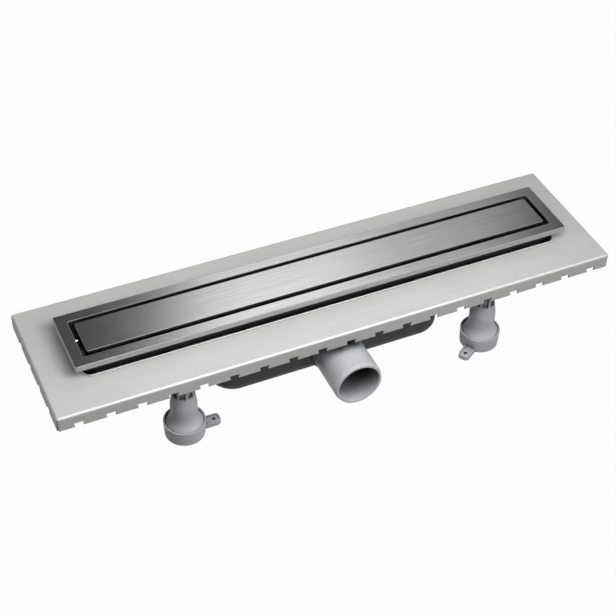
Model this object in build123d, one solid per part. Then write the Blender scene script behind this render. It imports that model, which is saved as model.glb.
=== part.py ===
from build123d import *
import os

# Linear shower drain, sizes in millimetres. The origin is the middle of the cover's top face, which lies
# at the finished floor. X runs along the drain, Y points to its back and Z points up.

# Levels
COVER_TOP = 0
FRAME_TOP = -0.4
FLANGE_TOP = -18
SLAB = -112

# How far a cut runs past the face it opens, and how near a level an edge must lie to belong to it
OVERCUT = 6
LEVEL_TOLERANCE = 0.01

# Pressed channel body
SHEET = 1.5
FLANGE_LENGTH = 584
FLANGE_WIDTH = 150
FLANGE_CORNER = 3
EDGE_DROP = 15.5
EDGE_BEND = 2.5
CORNER_SLIT = 0.8
NOTCH_PITCH = 30.15
NOTCH_MOUTH = 8
NOTCH_ROOT = 10
NOTCH_DEPTH = 4.5
LONG_SIDE_NOTCHES = 19
END_NOTCHES = 4
TROUGH_DEPTH = 20
TROUGH_END_GAP = 1
TROUGH_SIDE_INSET = 2.5
TROUGH_CORNER = 8
TROUGH_FLOOR_BEND = 2.4
RIM_HEIGHT = 1.2
RIM_ROUNDING = 0.7
UNDER_RIM_BEND = 1.5

# Tile frame and cover
FRAME_LENGTH = 520.5
FRAME_WIDTH = 72
FRAME_CORNER = 2
FRAME_RAIL = 11
FRAME_LIP = 6.2
FRAME_SKIRT = 23
FRAME_BEND = 0.4
COVER_GAP = 5
COVER_DROP = 10
COVER_CORNER = 2
COVER_BEND = 0.4
STOP_PIN_RADIUS = 1.6
STOP_PIN_REACH = 3.2
STOP_PIN_DEPTH = 2.6

# Height adjustment of the frame
BRIDGE_INSET = 79.25
BRIDGE_LENGTH = 24
BRIDGE_THICKNESS = 2
SCREW_Y = 14
SCREW_RADIUS = 3
SCREW_CLEARANCE = 0.05
SCREW_SLOT_WIDTH = 1.2
SCREW_SLOT_DEPTH = 2
SCREW_TOP = -5
NUT_ACROSS_FLATS = 10
NUT_HEIGHT = 5
CAP_RADIUS = 7
CAP_HEIGHT = 5
CAP_FLOOR = 2
PAD_LENGTH = 16
PAD_WIDTH = 4
PAD_THICKNESS = 1.5

# Trap housing
SUMP_LENGTH = 252
SUMP_WIDTH = 80
SUMP_CORNER = 27
SUMP_FLOOR_BEND = 12
SUMP_WALL = 3
SUMP_CLEARANCE = 17
LID_THICKNESS = 3.5
GASKET_THICKNESS = 2
OPENING_LENGTH = 190
OPENING_WIDTH = 46
CLAMP_RIM = 8
CLAMP_THICKNESS = 3
CLAMP_SCREW_RADIUS = 1.75
CLAMP_HEAD_RADIUS = 2.8
CLAMP_HEAD_HEIGHT = 1.8
CLAMP_SCREW_LENGTH = 17
CLAMP_SCREW_X = 50
CLAMP_SCREW_OFFSET = 4.7
CLAMP_HOLE_CLEARANCE = 0.25
BOSS_RADIUS = 4.5
BOSS_LENGTH = 12

# Outlet
OUTLET_HEIGHT = 42.5
OUTLET_RADIUS = 25
OUTLET_BORE = 21.8
OUTLET_ROOT_RADIUS = 24.5
OUTLET_REACH = 97
OUTLET_CHAMFER_DEPTH = 1.2
OUTLET_CHAMFER_LENGTH = 4
SOCKET_RADIUS = 26.5
SOCKET_LENGTH = 4
SOCKET_STEP = 0.5

# Water seal
SEAL_THICKNESS = 2
SEAL_HEIGHT = 8
SEAL_DROP = 1
INLET_END_FLANGE = 7
INLET_SIDE_FLANGE = 3.5
INLET_WALL = 2
INLET_TRAY_DEPTH = 14
INLET_TUBE_LENGTH = 150
INLET_TUBE_WIDTH = 20
INLET_TUBE_DEPTH = 33
CUP_SIDE_GAP = 3
CUP_HEIGHT = 38
CUP_WALL = 2
STRAINER_END_RIM = 2.5
STRAINER_SIDE_RIM = 1.25
STRAINER_THICKNESS = 1.2
STRAINER_SLOTS = 15
STRAINER_SLOT_PITCH = 11
STRAINER_SLOT_WIDTH = 3
STRAINER_SLOT_LENGTH = 28

# Screw feet
FOOT_X = 164
FOOT_Y = 50
STUD_RADIUS = 5
STUD_CLEARANCE = 0.06
STUD_END = 44
BASE_BOTTOM_RADIUS = 20
BASE_RIM_RADIUS = 20.75
BASE_WALL = 1.7
BASE_FLOOR = 2
BASE_HEIGHT = 16
PIVOT_RADIUS = 6
PIVOT_HEIGHT = 10
PIVOT_CLEARANCE = 0.08
PIVOT_END_GAP = 0.4
LUG_REACH = 36.5
LUG_WIDTH = 12
LUG_CORNER = 4.5
LUG_THICKNESS = 5
LUG_RIM = 1.5
LUG_RECESS = 0.8
LUG_HOLE_RADIUS = 2
LUG_HOLE_REACH = 30
SKIRT_GAP = 0.4
BELL_RIM = 15.2
BELL_TOP = 28
BELL_WALL = 2.5
BELL_HOLLOW_TOP = 22
BELL_HOLLOW_RADIUS = 12.2
PIVOT_SLEEVE_RADIUS = 9
COLLAR_RADIUS = 13.4
COLLAR_TOP = 40
NECK_BOTTOM = 58
NECK_RADIUS = 10.7
NECK_TOP = 70
CORE_RADIUS = 8.5
FIN_BOTTOM = 54
FIN_COUNT = 8
FIN_WIDTH = 2.4

# How far each foot's lug is turned from the X axis, in degrees
FRONT_LEFT_ANGLE = 0
FRONT_RIGHT_ANGLE = 213
BACK_RIGHT_ANGLE = 180
BACK_LEFT_ANGLE = 33

# Place of each foot and the angle of its lug
FEET = {
    "front_left": (-FOOT_X, -FOOT_Y, FRONT_LEFT_ANGLE),
    "front_right": (FOOT_X, -FOOT_Y, FRONT_RIGHT_ANGLE),
    "back_right": (FOOT_X, FOOT_Y, BACK_RIGHT_ANGLE),
    "back_left": (-FOOT_X, FOOT_Y, BACK_LEFT_ANGLE),
}

# Sizes that follow from the ones above
FLANGE_UNDERSIDE = FLANGE_TOP - SHEET
EDGE_BOTTOM = FLANGE_TOP - EDGE_DROP
FRAME_OPENING_LENGTH = FRAME_LENGTH - 2 * FRAME_RAIL
FRAME_OPENING_WIDTH = FRAME_WIDTH - 2 * FRAME_RAIL
TROUGH_LENGTH = FRAME_OPENING_LENGTH + 2 * (SHEET + TROUGH_END_GAP)
TROUGH_WIDTH = FRAME_WIDTH - 2 * TROUGH_SIDE_INSET
TROUGH_FLOOR = FLANGE_TOP - TROUGH_DEPTH
TROUGH_UNDERSIDE = TROUGH_FLOOR - SHEET
RIM_TOP = FLANGE_TOP + RIM_HEIGHT
COVER_LENGTH = FRAME_OPENING_LENGTH - 2 * COVER_GAP
COVER_WIDTH = FRAME_OPENING_WIDTH - 2 * COVER_GAP
COVER_BOTTOM = COVER_TOP - COVER_DROP
BRIDGE_X = FRAME_OPENING_LENGTH / 2 - BRIDGE_INSET
BRIDGE_TOP = COVER_BOTTOM - PAD_THICKNESS
BRIDGE_BOTTOM = BRIDGE_TOP - BRIDGE_THICKNESS
CAP_SEAT = TROUGH_FLOOR + CAP_FLOOR
LID_TOP = TROUGH_UNDERSIDE - GASKET_THICKNESS
LID_BOTTOM = LID_TOP - LID_THICKNESS
SUMP_BOTTOM = SLAB + SUMP_CLEARANCE
SUMP_FLOOR = SUMP_BOTTOM + SUMP_WALL
SUMP_FRONT = -SUMP_WIDTH / 2
OUTLET_Z = SLAB + OUTLET_HEIGHT
SOCKET_MOUTH = SUMP_FRONT - SOCKET_LENGTH
CLAMP_TOP = TROUGH_FLOOR + CLAMP_THICKNESS
CLAMP_SCREW_Y = OPENING_WIDTH / 2 + CLAMP_SCREW_OFFSET
CLAMP_END_X = OPENING_LENGTH / 2 + CLAMP_SCREW_OFFSET
TRAY_LENGTH = OPENING_LENGTH - 2 * SEAL_THICKNESS
TRAY_WIDTH = OPENING_WIDTH - 2 * SEAL_THICKNESS
TRAY_BOTTOM = CLAMP_TOP - INLET_TRAY_DEPTH
INLET_TOP = CLAMP_TOP + INLET_WALL
CUP_LENGTH = OPENING_LENGTH - 2 * CUP_SIDE_GAP
CUP_WIDTH = OPENING_WIDTH - 2 * CUP_SIDE_GAP
BASE_INNER_RADIUS = BASE_RIM_RADIUS - BASE_WALL
BELL_RADIUS = BASE_INNER_RADIUS - SKIRT_GAP
FOOT_PLACES = [(x, y) for x, y, _ in FEET.values()]
SCREW_PLACES = [(x, y) for x in (-BRIDGE_X, BRIDGE_X) for y in (-SCREW_Y, SCREW_Y)]
CLAMP_PLACES = [(x, y) for x in (-CLAMP_SCREW_X, CLAMP_SCREW_X) for y in (-CLAMP_SCREW_Y, CLAMP_SCREW_Y)]
CLAMP_PLACES += [(-CLAMP_END_X, 0), (CLAMP_END_X, 0)]


def rounded_block(length, width, corner, bottom, top, inset=0):
    """A block with rounded upright corners between two levels, its sides drawn in by an inset."""
    outline = RectangleRounded(length - 2 * inset, width - 2 * inset, corner - inset)
    return extrude(Pos(0, 0, bottom) * outline, top - bottom)


def oblong(length, width, bottom, top, inset=0):
    """A block with half-round ends between two levels, its sides drawn in by an inset."""
    outline = SlotOverall(length - 2 * inset, width - 2 * inset)
    return extrude(Pos(0, 0, bottom) * outline, top - bottom)


def rod(radius, bottom, top, x=0, y=0):
    """An upright round bar between two levels."""
    return extrude(Pos(x, y, bottom) * Circle(radius), top - bottom)


def level_edges(shape, level):
    """The edges of a shape that lie flat at one level."""
    return shape.edges().filter_by_position(Axis.Z, level - LEVEL_TOLERANCE, level + LEVEL_TOLERANCE)


def inner_edges(shape, level, length, width):
    """The edges at one level that lie on or inside a rectangle round the middle."""
    reach_x = length / 2 + LEVEL_TOLERANCE
    reach_y = width / 2 + LEVEL_TOLERANCE
    edges = level_edges(shape, level)
    return [edge for edge in edges if abs(edge.center().X) <= reach_x and abs(edge.center().Y) <= reach_y]


def group(pieces):
    """Separate identical pieces kept together as one node."""
    return Compound(children=list(pieces))


def edge_notches():
    """Dovetail notches for the bottom of the turned-down edge, on all four sides."""
    profile = Polygon(
        (-NOTCH_MOUTH / 2, 0),
        (NOTCH_MOUTH / 2, 0),
        (NOTCH_ROOT / 2, NOTCH_DEPTH),
        (-NOTCH_ROOT / 2, NOTCH_DEPTH),
        align=None,
    )
    notch = extrude(Plane.XZ * profile, OVERCUT, both=True)
    notches = []
    for index in range(LONG_SIDE_NOTCHES):
        x = (index - (LONG_SIDE_NOTCHES - 1) / 2) * NOTCH_PITCH
        for y in (-FLANGE_WIDTH / 2, FLANGE_WIDTH / 2):
            notches.append(Pos(x, y, EDGE_BOTTOM) * notch)
    for index in range(END_NOTCHES):
        y = (index - (END_NOTCHES - 1) / 2) * NOTCH_PITCH
        for x in (-FLANGE_LENGTH / 2, FLANGE_LENGTH / 2):
            notches.append(Pos(x, y, EDGE_BOTTOM) * Rot(0, 0, 90) * notch)
    return notches


def corner_slits():
    """Narrow slits where two turned-down edges meet at a corner."""
    slit_height = EDGE_DROP - EDGE_BEND
    slit = Box(2 * (FLANGE_CORNER + OVERCUT), CORNER_SLIT, 2 * slit_height)
    slits = []
    for side_x in (-1, 1):
        for side_y in (-1, 1):
            corner = Pos(side_x * FLANGE_LENGTH / 2, side_y * FLANGE_WIDTH / 2, EDGE_BOTTOM)
            slits.append(corner * Rot(0, 0, 45 * side_x * side_y) * slit)
    return slits


def make_channel_body():
    """Flange with a turned-down edge, and a trough whose rim stands a little above the flange."""
    pan = rounded_block(FLANGE_LENGTH, FLANGE_WIDTH, FLANGE_CORNER, EDGE_BOTTOM, FLANGE_TOP)
    pan = fillet(level_edges(pan, FLANGE_TOP), EDGE_BEND)
    hollow = rounded_block(FLANGE_LENGTH, FLANGE_WIDTH, FLANGE_CORNER, EDGE_BOTTOM, FLANGE_UNDERSIDE, SHEET)
    hollow = fillet(level_edges(hollow, FLANGE_UNDERSIDE), EDGE_BEND - SHEET)
    pan -= hollow
    pan -= edge_notches()
    pan -= corner_slits()

    trough = rounded_block(TROUGH_LENGTH, TROUGH_WIDTH, TROUGH_CORNER, TROUGH_UNDERSIDE, RIM_TOP, -SHEET)
    trough = fillet(level_edges(trough, TROUGH_UNDERSIDE), TROUGH_FLOOR_BEND + SHEET)
    space = rounded_block(TROUGH_LENGTH, TROUGH_WIDTH, TROUGH_CORNER, TROUGH_FLOOR, RIM_TOP)
    space = fillet(level_edges(space, TROUGH_FLOOR), TROUGH_FLOOR_BEND)
    body = pan + trough - space

    body = fillet(level_edges(body, RIM_TOP), RIM_ROUNDING)
    under_rim = inner_edges(body, FLANGE_UNDERSIDE, TROUGH_LENGTH + 2 * SHEET, TROUGH_WIDTH + 2 * SHEET)
    body = fillet(under_rim, UNDER_RIM_BEND)
    body -= oblong(OPENING_LENGTH, OPENING_WIDTH, TROUGH_UNDERSIDE, TROUGH_FLOOR)
    for x, y in CLAMP_PLACES:
        body -= rod(CLAMP_SCREW_RADIUS + CLAMP_HOLE_CLEARANCE, TROUGH_UNDERSIDE, TROUGH_FLOOR, x, y)
    return body


def stop_pin():
    """Round-nosed pin through the frame's left end, pointing along X."""
    start = -FRAME_OPENING_LENGTH / 2 - SHEET
    straight = SHEET + STOP_PIN_REACH - STOP_PIN_RADIUS
    axis_height = FRAME_TOP - STOP_PIN_DEPTH
    shank = extrude(Pos(start, 0, axis_height) * (Plane.YZ * Circle(STOP_PIN_RADIUS)), straight)
    return shank + Pos(start + straight, 0, axis_height) * Sphere(STOP_PIN_RADIUS)


def make_frame():
    """Folded frame: flat rails, a lip outside and a deep skirt round the opening."""
    rails = rounded_block(FRAME_LENGTH, FRAME_WIDTH, FRAME_CORNER, FRAME_TOP - FRAME_LIP, FRAME_TOP)
    rails = fillet(level_edges(rails, FRAME_TOP), FRAME_BEND)
    under_rails = FRAME_TOP - SHEET
    rails -= rounded_block(FRAME_LENGTH, FRAME_WIDTH, FRAME_CORNER, FRAME_TOP - FRAME_LIP, under_rails, SHEET)
    opening = (FRAME_OPENING_LENGTH, FRAME_OPENING_WIDTH)
    skirt_bottom = FRAME_TOP - FRAME_SKIRT
    skirt = rounded_block(*opening, FRAME_CORNER, skirt_bottom, FRAME_TOP, -SHEET)
    frame = rails + skirt - rounded_block(*opening, FRAME_CORNER, skirt_bottom, FRAME_TOP)
    return fillet(inner_edges(frame, FRAME_TOP, *opening), FRAME_BEND) - stop_pin()


def make_cover():
    """Flat cover with turned-down edges."""
    cover = rounded_block(COVER_LENGTH, COVER_WIDTH, COVER_CORNER, COVER_BOTTOM, COVER_TOP)
    cover = fillet(level_edges(cover, COVER_TOP), COVER_BEND)
    underside = COVER_TOP - SHEET
    return cover - rounded_block(COVER_LENGTH, COVER_WIDTH, COVER_CORNER, COVER_BOTTOM, underside, SHEET)


def make_bridge(x):
    """Cross plate between the frame's two long skirts, with holes for two levelling screws."""
    plate = Box(BRIDGE_LENGTH, FRAME_OPENING_WIDTH, BRIDGE_THICKNESS)
    plate = Pos(x, 0, (BRIDGE_TOP + BRIDGE_BOTTOM) / 2) * plate
    for y in (-SCREW_Y, SCREW_Y):
        plate -= rod(SCREW_RADIUS + SCREW_CLEARANCE, BRIDGE_BOTTOM, BRIDGE_TOP, x, y)
    return plate


def make_levelling_nut(x, y):
    """Hexagon nut welded under a bridge."""
    outline = RegularPolygon(NUT_ACROSS_FLATS / 2, 6, major_radius=False)
    outline -= Circle(SCREW_RADIUS + SCREW_CLEARANCE)
    return extrude(Pos(x, y, BRIDGE_BOTTOM - NUT_HEIGHT) * outline, NUT_HEIGHT)


def make_levelling_screw(x, y):
    """Headless screw with a slot across its top."""
    slot = Pos(x, y, SCREW_TOP) * Box(2 * (SCREW_RADIUS + OVERCUT), SCREW_SLOT_WIDTH, 2 * SCREW_SLOT_DEPTH)
    return rod(SCREW_RADIUS, CAP_SEAT, SCREW_TOP, x, y) - slot


def make_screw_cap(x, y):
    """Plastic cap that spreads a levelling screw's load on the trough's floor."""
    cap = rod(CAP_RADIUS, TROUGH_FLOOR, TROUGH_FLOOR + CAP_HEIGHT, x, y)
    return cap - rod(SCREW_RADIUS + SCREW_CLEARANCE, CAP_SEAT, TROUGH_FLOOR + CAP_HEIGHT, x, y)


def make_cover_pads():
    """Rubber pads on the bridges, under the cover's long edges."""
    pad_y = COVER_WIDTH / 2 - SHEET / 2
    pad = Pos(0, 0, BRIDGE_TOP + PAD_THICKNESS / 2) * Box(PAD_LENGTH, PAD_WIDTH, PAD_THICKNESS)
    return group(Pos(x, y, 0) * pad for x in (-BRIDGE_X, BRIDGE_X) for y in (-pad_y, pad_y))


def along_outlet(radius, front, back):
    """A round bar on the outlet's axis, between two distances along Y."""
    return extrude(Pos(0, back, OUTLET_Z) * (Plane.XZ * Circle(radius)), back - front)


def make_sump_body():
    """Open trap housing with a socket for the outlet in its front wall."""
    sump = rounded_block(SUMP_LENGTH, SUMP_WIDTH, SUMP_CORNER, SUMP_BOTTOM, LID_BOTTOM)
    sump = fillet(level_edges(sump, SUMP_BOTTOM), SUMP_FLOOR_BEND)
    sump += along_outlet(SOCKET_RADIUS, SOCKET_MOUTH, SUMP_FRONT)
    sump += along_outlet(SOCKET_RADIUS, SUMP_FRONT, SUMP_FRONT + SUMP_FLOOR_BEND) & rounded_block(
        SUMP_LENGTH, SUMP_WIDTH, SUMP_CORNER, SUMP_BOTTOM, LID_BOTTOM
    )
    space = rounded_block(SUMP_LENGTH, SUMP_WIDTH, SUMP_CORNER, SUMP_FLOOR, LID_BOTTOM, SUMP_WALL)
    sump -= fillet(level_edges(space, SUMP_FLOOR), SUMP_FLOOR_BEND - SUMP_WALL)
    sump -= along_outlet(OUTLET_ROOT_RADIUS, SOCKET_MOUTH, SUMP_FRONT - SOCKET_STEP)
    return sump - along_outlet(OUTLET_BORE, SUMP_FRONT - SOCKET_STEP, SUMP_FRONT + SUMP_FLOOR_BEND)


def make_sump_lid():
    """Lid bonded to the housing, with screw bosses under it."""
    lid = rounded_block(SUMP_LENGTH, SUMP_WIDTH, SUMP_CORNER, LID_BOTTOM, LID_TOP)
    for x, y in CLAMP_PLACES:
        lid += rod(BOSS_RADIUS, LID_TOP - BOSS_LENGTH, LID_TOP, x, y)
    lid -= oblong(OPENING_LENGTH, OPENING_WIDTH, LID_TOP - BOSS_LENGTH, LID_TOP)
    for x, y in CLAMP_PLACES:
        lid -= rod(CLAMP_SCREW_RADIUS, CLAMP_TOP - CLAMP_SCREW_LENGTH, LID_TOP, x, y)
    return lid


def oblong_ring(rim, bottom, top):
    """A flat ring round the trough's drain opening."""
    ring = oblong(OPENING_LENGTH, OPENING_WIDTH, bottom, top, -rim)
    return ring - oblong(OPENING_LENGTH, OPENING_WIDTH, bottom, top)


def make_sump_gasket():
    """Rubber gasket between the lid and the trough."""
    gasket = oblong_ring(CLAMP_RIM, LID_TOP, TROUGH_UNDERSIDE)
    for x, y in CLAMP_PLACES:
        gasket -= rod(CLAMP_SCREW_RADIUS + CLAMP_HOLE_CLEARANCE, LID_TOP, TROUGH_UNDERSIDE, x, y)
    return gasket


def make_clamp_screw(x, y):
    """Countersunk screw whose head is flush with the clamp frame."""
    shank = rod(CLAMP_SCREW_RADIUS, CLAMP_TOP - CLAMP_SCREW_LENGTH, CLAMP_TOP, x, y)
    head_middle = CLAMP_TOP - CLAMP_HEAD_HEIGHT / 2
    return shank + Pos(x, y, head_middle) * Cone(CLAMP_SCREW_RADIUS, CLAMP_HEAD_RADIUS, CLAMP_HEAD_HEIGHT)


def make_clamp_frame():
    """Ring inside the trough that clamps the housing to its floor."""
    frame = oblong_ring(CLAMP_RIM, TROUGH_FLOOR, CLAMP_TOP)
    for x, y in CLAMP_PLACES:
        frame -= make_clamp_screw(x, y)
    return frame


def make_trap_inlet():
    """Lift-out inlet: a flanged tray with a long narrow tube that dips into the cup."""
    flange_length = TRAY_LENGTH + 2 * INLET_END_FLANGE
    flange_width = TRAY_WIDTH + 2 * INLET_SIDE_FLANGE
    inlet = oblong(flange_length, flange_width, CLAMP_TOP, INLET_TOP)
    inlet += oblong(TRAY_LENGTH, TRAY_WIDTH, TRAY_BOTTOM, CLAMP_TOP)
    tube_end = TRAY_BOTTOM - INLET_TUBE_DEPTH
    tray_floor = TRAY_BOTTOM + INLET_WALL
    inlet += oblong(INLET_TUBE_LENGTH, INLET_TUBE_WIDTH, tube_end, TRAY_BOTTOM)
    inlet -= oblong(TRAY_LENGTH, TRAY_WIDTH, tray_floor, INLET_TOP, INLET_WALL)
    return inlet - oblong(INLET_TUBE_LENGTH, INLET_TUBE_WIDTH, tube_end, tray_floor, INLET_WALL)


def make_inlet_seal():
    """Rubber seal between the inlet's tray and the drain opening."""
    top = CLAMP_TOP - SEAL_DROP
    seal = oblong(OPENING_LENGTH, OPENING_WIDTH, top - SEAL_HEIGHT, top)
    return seal - oblong(TRAY_LENGTH, TRAY_WIDTH, top - SEAL_HEIGHT, top)


def make_trap_cup():
    """Lift-out cup that holds the sealing water."""
    rim = SUMP_FLOOR + CUP_HEIGHT
    cup = oblong(CUP_LENGTH, CUP_WIDTH, SUMP_FLOOR, rim)
    return cup - oblong(CUP_LENGTH, CUP_WIDTH, SUMP_FLOOR + CUP_WALL, rim, CUP_WALL)


def make_hair_strainer():
    """Slotted plate that rests on the inlet's flange."""
    top = INLET_TOP + STRAINER_THICKNESS
    plate = oblong(TRAY_LENGTH + 2 * STRAINER_END_RIM, TRAY_WIDTH + 2 * STRAINER_SIDE_RIM, INLET_TOP, top)
    slot = Rot(0, 0, 90) * oblong(STRAINER_SLOT_LENGTH, STRAINER_SLOT_WIDTH, INLET_TOP, top)
    for index in range(STRAINER_SLOTS):
        plate -= Pos((index - (STRAINER_SLOTS - 1) / 2) * STRAINER_SLOT_PITCH, 0, 0) * slot
    return plate


def make_outlet_spigot():
    """Outlet pipe with a tapered end for a push-fit socket and a thinner root in the housing."""
    pipe = along_outlet(OUTLET_RADIUS, -OUTLET_REACH, SOCKET_MOUTH)
    mouth = pipe.edges().sort_by(Axis.Y)[0]
    wall = pipe.faces().filter_by(GeomType.CYLINDER)[0]
    pipe = chamfer(mouth, OUTLET_CHAMFER_LENGTH, OUTLET_CHAMFER_DEPTH, reference=wall)
    pipe += along_outlet(OUTLET_ROOT_RADIUS, SOCKET_MOUTH, SUMP_FRONT - SOCKET_STEP)
    return pipe - along_outlet(OUTLET_BORE, -OUTLET_REACH, SUMP_FRONT - SOCKET_STEP)


def make_foot_base():
    """Base cup with a pivot pin and a fixing lug along X, standing at the origin."""
    profile = Polyline(
        (0, 0),
        (BASE_BOTTOM_RADIUS, 0),
        (BASE_RIM_RADIUS, BASE_HEIGHT),
        (BASE_INNER_RADIUS, BASE_HEIGHT),
        (BASE_INNER_RADIUS, BASE_FLOOR),
        (PIVOT_RADIUS, BASE_FLOOR),
        (PIVOT_RADIUS, BASE_FLOOR + PIVOT_HEIGHT),
        (0, BASE_FLOOR + PIVOT_HEIGHT),
        close=True,
    )
    cup = revolve(Plane.XZ * make_face(profile), Axis.Z)
    tongue = Pos(LUG_REACH / 2, 0, 0) * RectangleRounded(LUG_REACH, LUG_WIDTH, LUG_CORNER)
    recess = RectangleRounded(LUG_REACH - 2 * LUG_RIM, LUG_WIDTH - 2 * LUG_RIM, LUG_CORNER - LUG_RIM)
    recess = Pos(LUG_REACH / 2, 0, LUG_THICKNESS - LUG_RECESS) * recess
    lug = extrude(tongue, LUG_THICKNESS) - extrude(recess, LUG_RECESS)
    lug -= rod(LUG_HOLE_RADIUS, 0, LUG_THICKNESS, LUG_HOLE_REACH)
    return cup + (lug - rod(BASE_BOTTOM_RADIUS - BASE_WALL / 2, 0, LUG_THICKNESS))


def neck_pockets():
    """The spaces between the fins round a foot post's neck."""
    pockets = rod(COLLAR_RADIUS + OVERCUT, FIN_BOTTOM, NECK_TOP) - rod(CORE_RADIUS, FIN_BOTTOM, NECK_TOP)
    fin_pair = Box(2 * (COLLAR_RADIUS + OVERCUT), FIN_WIDTH, NECK_TOP - FIN_BOTTOM)
    fin_pair = Pos(0, 0, (FIN_BOTTOM + NECK_TOP) / 2) * fin_pair
    for index in range(FIN_COUNT // 2):
        pockets -= Rot(0, 0, index * 360 / FIN_COUNT) * fin_pair
    return pockets


def make_foot_post():
    """Bell-shaped post with a finned neck, a threaded bore above and a pivot socket below."""
    bell = TangentArc((COLLAR_RADIUS, BELL_TOP), (BELL_RADIUS, BELL_RIM), tangent=(0, -1))
    rest = Polyline(
        (BELL_RADIUS, BELL_RIM),
        (BELL_RADIUS, BASE_FLOOR),
        (BELL_RADIUS - BELL_WALL, BASE_FLOOR),
        (BELL_RADIUS - BELL_WALL, BELL_RIM - BELL_WALL),
        (BELL_HOLLOW_RADIUS, BELL_HOLLOW_TOP),
        (PIVOT_SLEEVE_RADIUS, BELL_HOLLOW_TOP),
        (PIVOT_SLEEVE_RADIUS, BASE_FLOOR),
        (PIVOT_RADIUS + PIVOT_CLEARANCE, BASE_FLOOR),
        (PIVOT_RADIUS + PIVOT_CLEARANCE, BASE_FLOOR + PIVOT_HEIGHT + PIVOT_END_GAP),
        (0, BASE_FLOOR + PIVOT_HEIGHT + PIVOT_END_GAP),
        (0, STUD_END),
        (STUD_RADIUS + STUD_CLEARANCE, STUD_END),
        (STUD_RADIUS + STUD_CLEARANCE, NECK_TOP),
        (NECK_RADIUS, NECK_TOP),
        (NECK_RADIUS, NECK_BOTTOM),
        (COLLAR_RADIUS, COLLAR_TOP),
        (COLLAR_RADIUS, BELL_TOP),
    )
    return revolve(Plane.XZ * make_face([bell, rest]), Axis.Z) - neck_pockets()


parts = {
    "channel_body": make_channel_body(),
    "frame": make_frame(),
    "cover": make_cover(),
    "cover_stop_pin": stop_pin(),
    "frame_bridge_left": make_bridge(-BRIDGE_X),
    "frame_bridge_right": make_bridge(BRIDGE_X),
    "levelling_nuts": group(make_levelling_nut(x, y) for x, y in SCREW_PLACES),
    "levelling_screws": group(make_levelling_screw(x, y) for x, y in SCREW_PLACES),
    "screw_caps": group(make_screw_cap(x, y) for x, y in SCREW_PLACES),
    "cover_pads": make_cover_pads(),
    "sump_body": make_sump_body(),
    "sump_lid": make_sump_lid(),
    "sump_gasket": make_sump_gasket(),
    "clamp_frame": make_clamp_frame(),
    "clamp_screws": group(make_clamp_screw(x, y) for x, y in CLAMP_PLACES),
    "trap_inlet": make_trap_inlet(),
    "inlet_seal": make_inlet_seal(),
    "trap_cup": make_trap_cup(),
    "hair_strainer": make_hair_strainer(),
    "outlet_spigot": make_outlet_spigot(),
    "foot_studs": group(rod(STUD_RADIUS, SLAB + STUD_END, FLANGE_UNDERSIDE, x, y) for x, y in FOOT_PLACES),
}
foot_base = make_foot_base()
foot_post = make_foot_post()
for name, (x, y, lug_angle) in FEET.items():
    parts["foot_base_" + name] = Pos(x, y, SLAB) * Rot(0, 0, lug_angle) * foot_base
    parts["foot_post_" + name] = Pos(x, y, SLAB) * foot_post

os.makedirs("parts", exist_ok=True)
for node, shape in parts.items():
    export_step(shape, f"parts/{node}.step")
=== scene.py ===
import math

import bpy
from mathutils import Matrix, Vector


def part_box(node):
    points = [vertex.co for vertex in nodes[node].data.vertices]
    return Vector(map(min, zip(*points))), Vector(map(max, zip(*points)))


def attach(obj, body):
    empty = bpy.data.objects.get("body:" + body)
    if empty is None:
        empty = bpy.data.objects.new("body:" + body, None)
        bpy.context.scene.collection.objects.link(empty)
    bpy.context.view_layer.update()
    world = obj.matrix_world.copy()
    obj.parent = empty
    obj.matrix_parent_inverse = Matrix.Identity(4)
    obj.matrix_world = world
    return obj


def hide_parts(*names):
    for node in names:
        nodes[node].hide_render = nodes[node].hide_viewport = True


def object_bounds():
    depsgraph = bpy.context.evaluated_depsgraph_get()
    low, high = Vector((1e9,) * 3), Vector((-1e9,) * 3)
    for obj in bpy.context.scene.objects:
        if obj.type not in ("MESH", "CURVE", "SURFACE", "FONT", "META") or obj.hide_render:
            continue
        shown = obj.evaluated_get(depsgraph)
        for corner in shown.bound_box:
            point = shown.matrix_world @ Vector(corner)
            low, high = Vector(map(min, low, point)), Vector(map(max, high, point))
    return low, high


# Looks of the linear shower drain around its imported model, in metres. X runs along the drain, Y points to its
# back and Z points up from the finished floor.

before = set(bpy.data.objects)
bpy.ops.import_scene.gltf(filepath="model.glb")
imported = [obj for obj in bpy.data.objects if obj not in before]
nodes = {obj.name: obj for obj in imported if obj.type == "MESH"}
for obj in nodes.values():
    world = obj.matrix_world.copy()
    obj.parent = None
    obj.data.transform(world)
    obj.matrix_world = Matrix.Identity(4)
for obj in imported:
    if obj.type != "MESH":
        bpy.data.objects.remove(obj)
cad_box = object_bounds()
scene = bpy.context.scene
scene.view_settings.view_transform = "Standard"

# Feet and their studs
FOOT_PLACES = ("front_left", "front_right", "back_right", "back_left")
STUD_RADIUS = 0.005
THREAD_PITCH = 0.003
THREAD_DEPTH = 0.0009
THREAD_ROWS_PER_TURN = 8
THREAD_COLUMNS = 28

# Steel
STREAK_FINENESS_ALONG = 1.5
STREAK_FINENESS_ACROSS = 0.35
STREAK_CONTRAST = 2.5
PATCHES_IN_COLOUR = 0.4
PATCHES_IN_ROUGHNESS = 0.5
STEEL_EDGE_GAIN = 1.15
STROKE_STRENGTH = 0.35

# Plastic and rubber
PLASTIC_EDGE_GAIN = 1.35
PLASTIC_EDGE_LIFT = 0.01
PLASTIC_SPECULAR = 0.3
GRAIN_STRENGTH = 0.4

# Camera, with its lens and sensor in millimetres
CAMERA_TARGET = Vector((-0.0249, -0.0281, -0.018))
CAMERA_DISTANCE = 1.3486
CAMERA_AZIMUTH = math.radians(-25.587)
CAMERA_ELEVATION = math.radians(42.828)
CAMERA_ROLL = math.radians(1.823)
CAMERA_LENS = 81.13
CAMERA_SENSOR = 36

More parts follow.
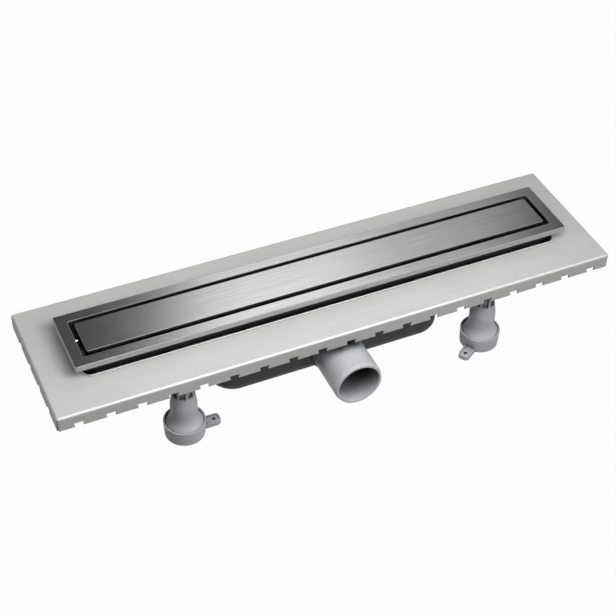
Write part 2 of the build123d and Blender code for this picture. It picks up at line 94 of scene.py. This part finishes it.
# Plain colours
BLACK = (0, 0, 0)
WHITE = (1, 1, 1)

# Studio
FLOOR_SIZE = 12
FLOOR_DROP = 0.0155
FLOOR_PAINT = (0.2, 0.2, 0.2)
FLOOR_SHADOW = 0.02
WALL_HEIGHT = 2
SURROUND_LEVEL = 0.05
SOFTBOXES = {
    "back softbox": dict(place=(0.385, 1.0, 1.2), aim=(0, 0, 0), width=0.38, height=0.6, power=1.24),
    "back right softbox": dict(place=(0.75, 1.0, 1.2), aim=(0, 0, 0), width=0.36, height=0.6, power=0.58),
    "top softbox": dict(place=(-0.03, -0.3, 0.5), aim=(-0.03, -0.05, 0), width=0.5, height=0.3, power=4.4),
    "left softbox": dict(place=(-0.75, -0.1, 0.45), aim=(-0.28, 0, -0.02), width=0.3, height=0.3, power=1.5),
    "front softbox": dict(place=(0.42, -0.83, 0.8), aim=(0, 0, -0.08), width=0.9, height=0.5, power=10.5),
}


# Shader node helpers

def feed(tree, socket, source):
    """Gives an input socket a number or a colour, or links another socket to it."""
    if isinstance(source, tuple):
        socket.default_value = (*source, 1)
    elif isinstance(source, (int, float)):
        socket.default_value = source
    else:
        tree.links.new(source, socket)


def add_node(tree, kind, **settings):
    """A node in a tree: a setting is a property of the node, or the value of the input with that name."""
    node = tree.nodes.new(kind)
    for name, value in settings.items():
        if hasattr(node, name):
            setattr(node, name, value)
        else:
            feed(tree, node.inputs[name.replace("_", " ")], value)
    return node


def calculate(tree, operation, first, second=0):
    """A math node; each operand is a number or a socket."""
    node = add_node(tree, "ShaderNodeMath", operation=operation)
    feed(tree, node.inputs[0], first)
    feed(tree, node.inputs[1], second)
    return node.outputs[0]


def remap(tree, value, low, high):
    """Spreads a value from 0 to 1 over the range from low to high; both may be numbers or sockets."""
    node = add_node(tree, "ShaderNodeMapRange")
    feed(tree, node.inputs["Value"], value)
    feed(tree, node.inputs["To Min"], low)
    feed(tree, node.inputs["To Max"], high)
    return node.outputs["Result"]


def mix_values(tree, first, second, second_share):
    """A value between two sockets, with a fixed share of the second."""
    first_part = calculate(tree, "MULTIPLY", first, 1 - second_share)
    second_part = calculate(tree, "MULTIPLY", second, second_share)
    return calculate(tree, "ADD", first_part, second_part)


def mix_colours(tree, share, first, second):
    """A colour between two colours, each given as a colour or a socket."""
    node = add_node(tree, "ShaderNodeMix", data_type="RGBA")
    feed(tree, node.inputs["Factor"], share)
    # The node's colour sockets come after those for numbers and vectors.
    feed(tree, node.inputs[6], first)
    feed(tree, node.inputs[7], second)
    return node.outputs[2]


def mix_shaders(tree, share, first, second):
    """A shader between two shaders."""
    node = tree.nodes.new("ShaderNodeMixShader")
    for socket, source in zip(node.inputs, (share, first, second)):
        tree.links.new(source, socket)
    return node.outputs[0]


def raise_contrast(tree, value, gain):
    """Spreads a value from 0 to 1 away from its middle."""
    centred = calculate(tree, "SUBTRACT", value, 0.5)
    return calculate(tree, "ADD", calculate(tree, "MULTIPLY", centred, gain), 0.5)


def new_group(name, inputs, outputs):
    """An empty shader node group of numbers; returns its tree, its input node and its output node."""
    tree = bpy.data.node_groups.new(name, "ShaderNodeTree")
    for label, default in inputs.items():
        socket = tree.interface.new_socket(label, in_out="INPUT", socket_type="NodeSocketFloat")
        socket.default_value = default
    for label in outputs:
        tree.interface.new_socket(label, in_out="OUTPUT", socket_type="NodeSocketFloat")
    return tree, tree.nodes.new("NodeGroupInput"), tree.nodes.new("NodeGroupOutput")


def stretched_noise(tree, along, across, detail):
    """Noise in the part's own coordinates, with its own fineness along the drain and across it."""
    place = tree.nodes.new("ShaderNodeTexCoord")
    stretch = add_node(tree, "ShaderNodeVectorMath", operation="MULTIPLY")
    scales = tree.nodes.new("ShaderNodeCombineXYZ")
    noise = add_node(tree, "ShaderNodeTexNoise", Scale=1, Detail=detail, Roughness=0.6)
    tree.links.new(along, scales.inputs["X"])
    tree.links.new(across, scales.inputs["Y"])
    tree.links.new(across, scales.inputs["Z"])
    tree.links.new(place.outputs["Object"], stretch.inputs[0])
    tree.links.new(scales.outputs[0], stretch.inputs[1])
    tree.links.new(stretch.outputs[0], noise.inputs["Vector"])
    return noise.outputs["Fac"]


# Effects shared by several finishes

def make_brushing():
    """Fine parallel strokes along the drain, with broader and shorter streaks among them."""
    tree, given, result = new_group("brushing", {"Along": 8, "Across": 1600}, ["Strokes", "Streaks"])
    strokes = stretched_noise(tree, given.outputs["Along"], given.outputs["Across"], detail=3)
    shorter = calculate(tree, "MULTIPLY", given.outputs["Along"], STREAK_FINENESS_ALONG)
    broader = calculate(tree, "MULTIPLY", given.outputs["Across"], STREAK_FINENESS_ACROSS)
    streaks = raise_contrast(tree, stretched_noise(tree, shorter, broader, detail=2), STREAK_CONTRAST)
    tree.links.new(strokes, result.inputs["Strokes"])
    tree.links.new(streaks, result.inputs["Streaks"])
    return tree


def make_mottling():
    """Cloudy patches, for handling marks and uneven pickling or moulding."""
    tree, given, result = new_group("mottling", {"Patches per metre": 30, "Contrast": 1}, ["Patches"])
    fineness = given.outputs["Patches per metre"]
    patches = stretched_noise(tree, fineness, fineness, detail=4)
    tree.links.new(raise_contrast(tree, patches, given.outputs["Contrast"]), result.inputs["Patches"])
    return tree


def make_edge_wear():
    """A mask that is 1 on sharp edges, broken up by noise."""
    tree, given, result = new_group("edge wear", {"Width": 0.0008, "Gain": 2}, ["Mask"])
    rounded = add_node(tree, "ShaderNodeBevel", samples=4)
    flat = tree.nodes.new("ShaderNodeNewGeometry")
    turn = add_node(tree, "ShaderNodeVectorMath", operation="DOT_PRODUCT")
    tree.links.new(given.outputs["Width"], rounded.inputs["Radius"])
    tree.links.new(rounded.outputs[0], turn.inputs[0])
    tree.links.new(flat.outputs["Normal"], turn.inputs[1])
    sharp = calculate(tree, "SUBTRACT", 1, turn.outputs["Value"])
    strong = calculate(tree, "MULTIPLY", sharp, given.outputs["Gain"])
    noise = add_node(tree, "ShaderNodeTexNoise", Scale=220, Detail=3)
    broken = calculate(tree, "MULTIPLY", strong, remap(tree, noise.outputs["Fac"], low=0.4, high=1.6))
    tree.links.new(calculate(tree, "MINIMUM", broken, 1), result.inputs["Mask"])
    return tree


def make_moulded_grain():
    """The fine eroded grain of a mould, as a height."""
    tree, given, result = new_group("moulded grain", {"Grains per metre": 1800}, ["Height"])
    fineness = given.outputs["Grains per metre"]
    tree.links.new(stretched_noise(tree, fineness, fineness, detail=2), result.inputs["Height"])
    return tree


def make_gap_shade():
    """A mask of painted shade that rises in narrow gaps and hollows, where little light reaches."""
    tree, given, result = new_group("gap shade", {"Reach": 0.006, "Start": 0, "Depth": 0.8}, ["Mask"])
    openness = add_node(tree, "ShaderNodeAmbientOcclusion", samples=8)
    tree.links.new(given.outputs["Reach"], openness.inputs["Distance"])
    enclosed = calculate(tree, "SUBTRACT", 1, openness.outputs["AO"])
    beyond = calculate(tree, "MAXIMUM", calculate(tree, "SUBTRACT", enclosed, given.outputs["Start"]), 0)
    tree.links.new(calculate(tree, "MULTIPLY", beyond, given.outputs["Depth"]), result.inputs["Mask"])
    return tree


def make_fold_shade_and_roughness():
    """How far a face is turned down, which also roughens it, and the painted shade put on it; ends can take
    more painted shade than sides.
    """
    inputs = {"Steepness": 1, "Side loss": 0.3, "End loss": 0}
    tree, given, result = new_group("fold shade and roughness", inputs, ["Fold", "Loss"])
    surface = tree.nodes.new("ShaderNodeNewGeometry")
    facing = tree.nodes.new("ShaderNodeSeparateXYZ")
    tree.links.new(surface.outputs["Normal"], facing.inputs[0])
    level = calculate(tree, "ABSOLUTE", facing.outputs["Z"])
    endwise = calculate(tree, "ABSOLUTE", facing.outputs["X"])
    tilt = calculate(tree, "MULTIPLY", calculate(tree, "SUBTRACT", 1, level), given.outputs["Steepness"])
    fold = calculate(tree, "MINIMUM", tilt, 1)
    side_part = calculate(tree, "MULTIPLY", fold, given.outputs["Side loss"])
    end_part = calculate(tree, "MULTIPLY", endwise, given.outputs["End loss"])
    tree.links.new(fold, result.inputs["Fold"])
    tree.links.new(calculate(tree, "ADD", side_part, end_part), result.inputs["Loss"])
    return tree


BRUSHING = make_brushing()
MOTTLING = make_mottling()
EDGE_WEAR = make_edge_wear()
MOULDED_GRAIN = make_moulded_grain()
GAP_SHADE = make_gap_shade()
FOLD_SHADE_AND_ROUGHNESS = make_fold_shade_and_roughness()


# Finishes

def new_finish(name):
    """A material with a principled shader; returns the material, its tree and the shader."""
    material = bpy.data.materials.new(name)
    material.use_nodes = True
    tree = material.node_tree
    return material, tree, tree.nodes["Principled BSDF"]


def place_group(tree, group, **values):
    """One use of a shared effect, with its own values."""
    return add_node(tree, "ShaderNodeGroup", node_tree=group, **values).outputs


def raise_surface(tree, shader, height, depth, strength):
    """Feeds a height to the shader's normal through a bump node."""
    bump = add_node(tree, "ShaderNodeBump", Distance=depth, Strength=strength)
    tree.links.new(height, bump.inputs["Height"])
    tree.links.new(bump.outputs[0], shader.inputs["Normal"])


def shade_gaps(tree, colour, reach, start, depth):
    """Paints shade into a colour in gaps about as wide as the reach, where more than the start share is
    enclosed.
    """
    mask = place_group(tree, GAP_SHADE, Reach=reach, Start=start, Depth=depth)["Mask"]
    return mix_colours(tree, mask, colour, BLACK)


def shade_and_roughen_folds(tree, colour, roughness, steepness, side_shade, end_shade, fold_rough):
    """Painted shade and more roughness on turned-down faces; a high steepness puts both on the bends too."""
    turned = place_group(tree, FOLD_SHADE_AND_ROUGHNESS, Steepness=steepness, Side_loss=side_shade, End_loss=end_shade)
    darker = mix_colours(tree, turned["Loss"], colour, BLACK)
    return darker, remap(tree, turned["Fold"], roughness, fold_rough)


def steel_finish(name, dark, light, smooth, rough, stroke_depth, metal=1, folds=None, gaps=None):
    """Brushed steel with cloudy patches and brighter worn edges; where given, rougher folds with painted shade,
    and painted shade in gaps.
    """
    material, tree, shader = new_finish(name)
    brushing = place_group(tree, BRUSHING)
    patches = place_group(tree, MOTTLING, Patches_per_metre=24, Contrast=1.5)["Patches"]
    wear = place_group(tree, EDGE_WEAR, Width=0.0006)["Mask"]
    tone = mix_values(tree, brushing["Streaks"], patches, PATCHES_IN_COLOUR)
    body = mix_colours(tree, tone, dark, light)
    edge = tuple(min(1, STEEL_EDGE_GAIN * channel) for channel in light)
    colour = mix_colours(tree, wear, body, edge)
    texture = mix_values(tree, brushing["Strokes"], patches, PATCHES_IN_ROUGHNESS)
    roughness = remap(tree, texture, smooth, rough)
    # Painted shade and more roughness on turned-down faces
    if folds:
        colour, roughness = shade_and_roughen_folds(tree, colour, roughness, **folds)
    # Painted shade in gaps and hollows
    if gaps:
        colour = shade_gaps(tree, colour, **gaps)
    tree.links.new(colour, shader.inputs["Base Color"])
    tree.links.new(roughness, shader.inputs["Roughness"])
    shader.inputs["Metallic"].default_value = metal
    raise_surface(tree, shader, brushing["Strokes"], stroke_depth, STROKE_STRENGTH)
    return material


def plastic_finish(name, dark, light, smooth, rough, grain_depth, gaps=None):
    """Moulded plastic or rubber: slightly uneven colour, eroded grain, paler worn edges and, where given,
    painted shade in gaps.
    """
    material, tree, shader = new_finish(name)
    patches = place_group(tree, MOTTLING, Patches_per_metre=45, Contrast=1.6)["Patches"]
    wear = place_group(tree, EDGE_WEAR, Width=0.0007, Gain=1.2)["Mask"]
    body = mix_colours(tree, patches, dark, light)
    edge = tuple(min(1, PLASTIC_EDGE_GAIN * channel + PLASTIC_EDGE_LIFT) for channel in light)
    colour = mix_colours(tree, wear, body, edge)
    # Painted shade in gaps and hollows
    if gaps:
        colour = shade_gaps(tree, colour, **gaps)
    tree.links.new(colour, shader.inputs["Base Color"])
    tree.links.new(remap(tree, patches, smooth, rough), shader.inputs["Roughness"])
    shader.inputs["Specular IOR Level"].default_value = PLASTIC_SPECULAR
    grain = place_group(tree, MOULDED_GRAIN)["Height"]
    raise_surface(tree, shader, grain, grain_depth, GRAIN_STRENGTH)
    return material


# Painted shade and more roughness on the turned-down faces of the steel pieces
CRISP_FOLDS = dict(steepness=12, side_shade=0.3, end_shade=0, fold_rough=0.65)
PRESSED_FOLDS = dict(steepness=1, side_shade=0.4, end_shade=0.2, fold_rough=0.55)

# Painted shade in gaps and hollows
COVER_GAP_SHADE = dict(reach=0.012, start=0, depth=1.6)
RIM_FOOT_SHADE = dict(reach=0.004, start=0, depth=0.6)
OUTLET_HOLLOW_SHADE = dict(reach=0.045, start=0.45, depth=4.6)
FOOT_GROOVE_SHADE = dict(reach=0.025, start=0.15, depth=1.5)

STEELS = {
    "cover steel": dict(
        dark=(0.46, 0.46, 0.45), light=(0.59, 0.59, 0.58), smooth=0.2, rough=0.28,
        stroke_depth=0.00002, folds=CRISP_FOLDS, gaps=COVER_GAP_SHADE,
    ),
    "channel steel": dict(
        dark=(0.51, 0.51, 0.497), light=(0.58, 0.58, 0.565), smooth=0.58, rough=0.68,
        stroke_depth=0.00003, metal=0.5, folds=PRESSED_FOLDS, gaps=RIM_FOOT_SHADE,
    ),
    "polished pin": dict(
        dark=(0.8, 0.8, 0.8), light=(0.9, 0.9, 0.9), smooth=0.08, rough=0.16,
        stroke_depth=0.00001,
    ),
    "zinc screw": dict(
        dark=(0.45, 0.45, 0.46), light=(0.55, 0.55, 0.56), smooth=0.25, rough=0.4,
        stroke_depth=0.00001,
    ),
}
PLASTICS = {
    "housing plastic": dict(
        dark=(0.022, 0.0225, 0.0215), light=(0.032, 0.0325, 0.031), smooth=0.42, rough=0.56,
        grain_depth=0.00004,
    ),
    "trap plastic": dict(
        dark=(0.012, 0.012, 0.012), light=(0.02, 0.02, 0.02), smooth=0.4, rough=0.55,
        grain_depth=0.00004,
    ),
    "outlet plastic": dict(
        dark=(0.32, 0.327, 0.342), light=(0.38, 0.387, 0.402), smooth=0.34, rough=0.44,
        grain_depth=0.00003, gaps=OUTLET_HOLLOW_SHADE,
    ),
    "foot plastic": dict(
        dark=(0.29, 0.295, 0.315), light=(0.355, 0.36, 0.38), smooth=0.42, rough=0.52,
        grain_depth=0.00003, gaps=FOOT_GROOVE_SHADE,
    ),
    "seal rubber": dict(
        dark=(0.008, 0.008, 0.008), light=(0.016, 0.016, 0.016), smooth=0.6, rough=0.8,
        grain_depth=0.00005,
    ),
}
finishes = {}
for name, looks in STEELS.items():
    finishes[name] = steel_finish(name, **looks)
for name, looks in PLASTICS.items():
    finishes[name] = plastic_finish(name, **looks)

PIECES_IN_FINISH = {
    "cover steel": ["frame", "cover"],
    "channel steel": ["channel_body", "frame_bridge_left", "frame_bridge_right", "hair_strainer"],
    "polished pin": ["cover_stop_pin"],
    "zinc screw": ["levelling_nuts", "levelling_screws", "clamp_screws", "foot_studs"],
    "housing plastic": ["sump_body", "sump_lid"],
    "trap plastic": ["screw_caps", "clamp_frame", "trap_inlet", "trap_cup"],
    "outlet plastic": ["outlet_spigot"],
    "foot plastic": [piece + place for place in FOOT_PLACES for piece in ("foot_base_", "foot_post_")],
    "seal rubber": ["cover_pads", "sump_gasket", "inlet_seal"],
}
for finish, pieces in PIECES_IN_FINISH.items():
    for piece in pieces:
        nodes[piece].data.materials.clear()
        nodes[piece].data.materials.append(finishes[finish])


# Threads of the foot studs

def add_mesh(name, points, faces, material):
    """An object made of points and faces, in one material."""
    mesh = bpy.data.meshes.new(name)
    mesh.from_pydata(points, [], faces)
    mesh.materials.append(material)
    piece = bpy.data.objects.new(name, mesh)
    scene.collection.objects.link(piece)
    return piece


def make_stud(name, x, y, bottom, top):
    """A closed rod whose surface follows a right-hand thread."""
    rows = round((top - bottom) / THREAD_PITCH * THREAD_ROWS_PER_TURN)
    points = []
    for row in range(rows + 1):
        z = bottom + (top - bottom) * row / rows
        for column in range(THREAD_COLUMNS):
            turn = column / THREAD_COLUMNS
            phase = ((z - bottom) / THREAD_PITCH - turn) % 1
            radius = STUD_RADIUS - THREAD_DEPTH * abs(2 * phase - 1)
            angle = 2 * math.pi * turn
            points.append((x + radius * math.cos(angle), y + radius * math.sin(angle), z))
    faces = []
    for row in range(rows):
        for column in range(THREAD_COLUMNS):
            here = row * THREAD_COLUMNS + column
            beside = row * THREAD_COLUMNS + (column + 1) % THREAD_COLUMNS
            faces.append((here, beside, beside + THREAD_COLUMNS, here + THREAD_COLUMNS))
    faces.append(tuple(reversed(range(THREAD_COLUMNS))))
    faces.append(tuple(range(rows * THREAD_COLUMNS, (rows + 1) * THREAD_COLUMNS)))
    return add_mesh(name, points, faces, finishes["zinc screw"])


stud_low, stud_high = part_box("foot_studs")
for place in FOOT_PLACES:
    post_low, post_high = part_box("foot_post_" + place)
    middle = (post_low + post_high) / 2
    stud = make_stud("threaded_stud_" + place, middle.x, middle.y, stud_low.z, stud_high.z)
    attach(stud, "drain")
    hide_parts("foot_studs")


# Studio

def studio_white():
    """White paint that still takes a soft shadow, and that the camera sees through from outside the room."""
    material = bpy.data.materials.new("studio white")
    material.use_nodes = True
    tree = material.node_tree
    tree.nodes.clear()
    output = tree.nodes.new("ShaderNodeOutputMaterial")
    paint = add_node(tree, "ShaderNodeBsdfDiffuse", Color=FLOOR_PAINT)
    white = add_node(tree, "ShaderNodeEmission", Color=WHITE, Strength=1)
    clear = tree.nodes.new("ShaderNodeBsdfTransparent")
    rays = tree.nodes.new("ShaderNodeLightPath")
    surface = tree.nodes.new("ShaderNodeNewGeometry")
    seen = calculate(tree, "MAXIMUM", rays.outputs["Is Camera Ray"], rays.outputs["Is Glossy Ray"])
    seen = calculate(tree, "MAXIMUM", seen, rays.outputs["Is Transmission Ray"])
    glow = calculate(tree, "MULTIPLY", seen, 1 - FLOOR_SHADOW)
    outside = calculate(tree, "MULTIPLY", surface.outputs["Backfacing"], rays.outputs["Is Camera Ray"])
    lit = mix_shaders(tree, glow, paint.outputs[0], white.outputs[0])
    one_way = mix_shaders(tree, outside, lit, clear.outputs[0])
    tree.links.new(one_way, output.inputs["Surface"])
    return material


def make_room():
    """White floor and walls; the floor lies low enough for feet that are screwed out."""
    half = FLOOR_SIZE / 2
    low = cad_box[0].z - FLOOR_DROP
    outline = [(-half, -half), (half, -half), (half, half), (-half, half)]
    corners = len(outline)
    points = [(x, y, z) for z in (low, low + WALL_HEIGHT) for x, y in outline]
    faces = [tuple(range(corners))]
    for corner in range(corners):
        after = (corner + 1) % corners
        faces.append((corner, corner + corners, after + corners, after))
    room = add_mesh("studio_room", points, faces, studio_white())


def add_softbox(name, place, aim, width, height, power):
    """A rectangular studio lamp that points at a spot."""
    lamp = bpy.data.lights.new(name, "AREA")
    lamp.shape = "RECTANGLE"
    lamp.size = width
    lamp.size_y = height
    lamp.energy = power
    holder = bpy.data.objects.new(name, lamp)
    holder.location = place
    holder.rotation_euler = (Vector(aim) - Vector(place)).to_track_quat("-Z", "Y").to_euler()
    scene.collection.objects.link(holder)


def add_surround():
    """Even dim light from all round."""
    world = bpy.data.worlds.new("studio")
    world.use_nodes = True
    back = world.node_tree.nodes["Background"]
    feed(world.node_tree, back.inputs["Color"], WHITE)
    feed(world.node_tree, back.inputs["Strength"], SURROUND_LEVEL)
    scene.world = world


def add_camera():
    """Camera at the photograph's viewing angle."""
    back = Vector((
        math.sin(CAMERA_AZIMUTH) * math.cos(CAMERA_ELEVATION),
        -math.cos(CAMERA_AZIMUTH) * math.cos(CAMERA_ELEVATION),
        math.sin(CAMERA_ELEVATION),
    ))
    level_right = Vector((0, 0, 1)).cross(back).normalized()
    level_up = back.cross(level_right)
    right = math.cos(CAMERA_ROLL) * level_right + math.sin(CAMERA_ROLL) * level_up
    up = back.cross(right)
    data = bpy.data.cameras.new("camera")
    data.lens = CAMERA_LENS
    data.sensor_width = CAMERA_SENSOR
    camera = bpy.data.objects.new("camera", data)
    turn = Matrix((right, up, back)).transposed().to_4x4()
    camera.matrix_world = Matrix.Translation(CAMERA_TARGET + back * CAMERA_DISTANCE) @ turn
    scene.collection.objects.link(camera)
    scene.camera = camera


make_room()
add_surround()
for name, setting in SOFTBOXES.items():
    add_softbox(name, **setting)
add_camera()
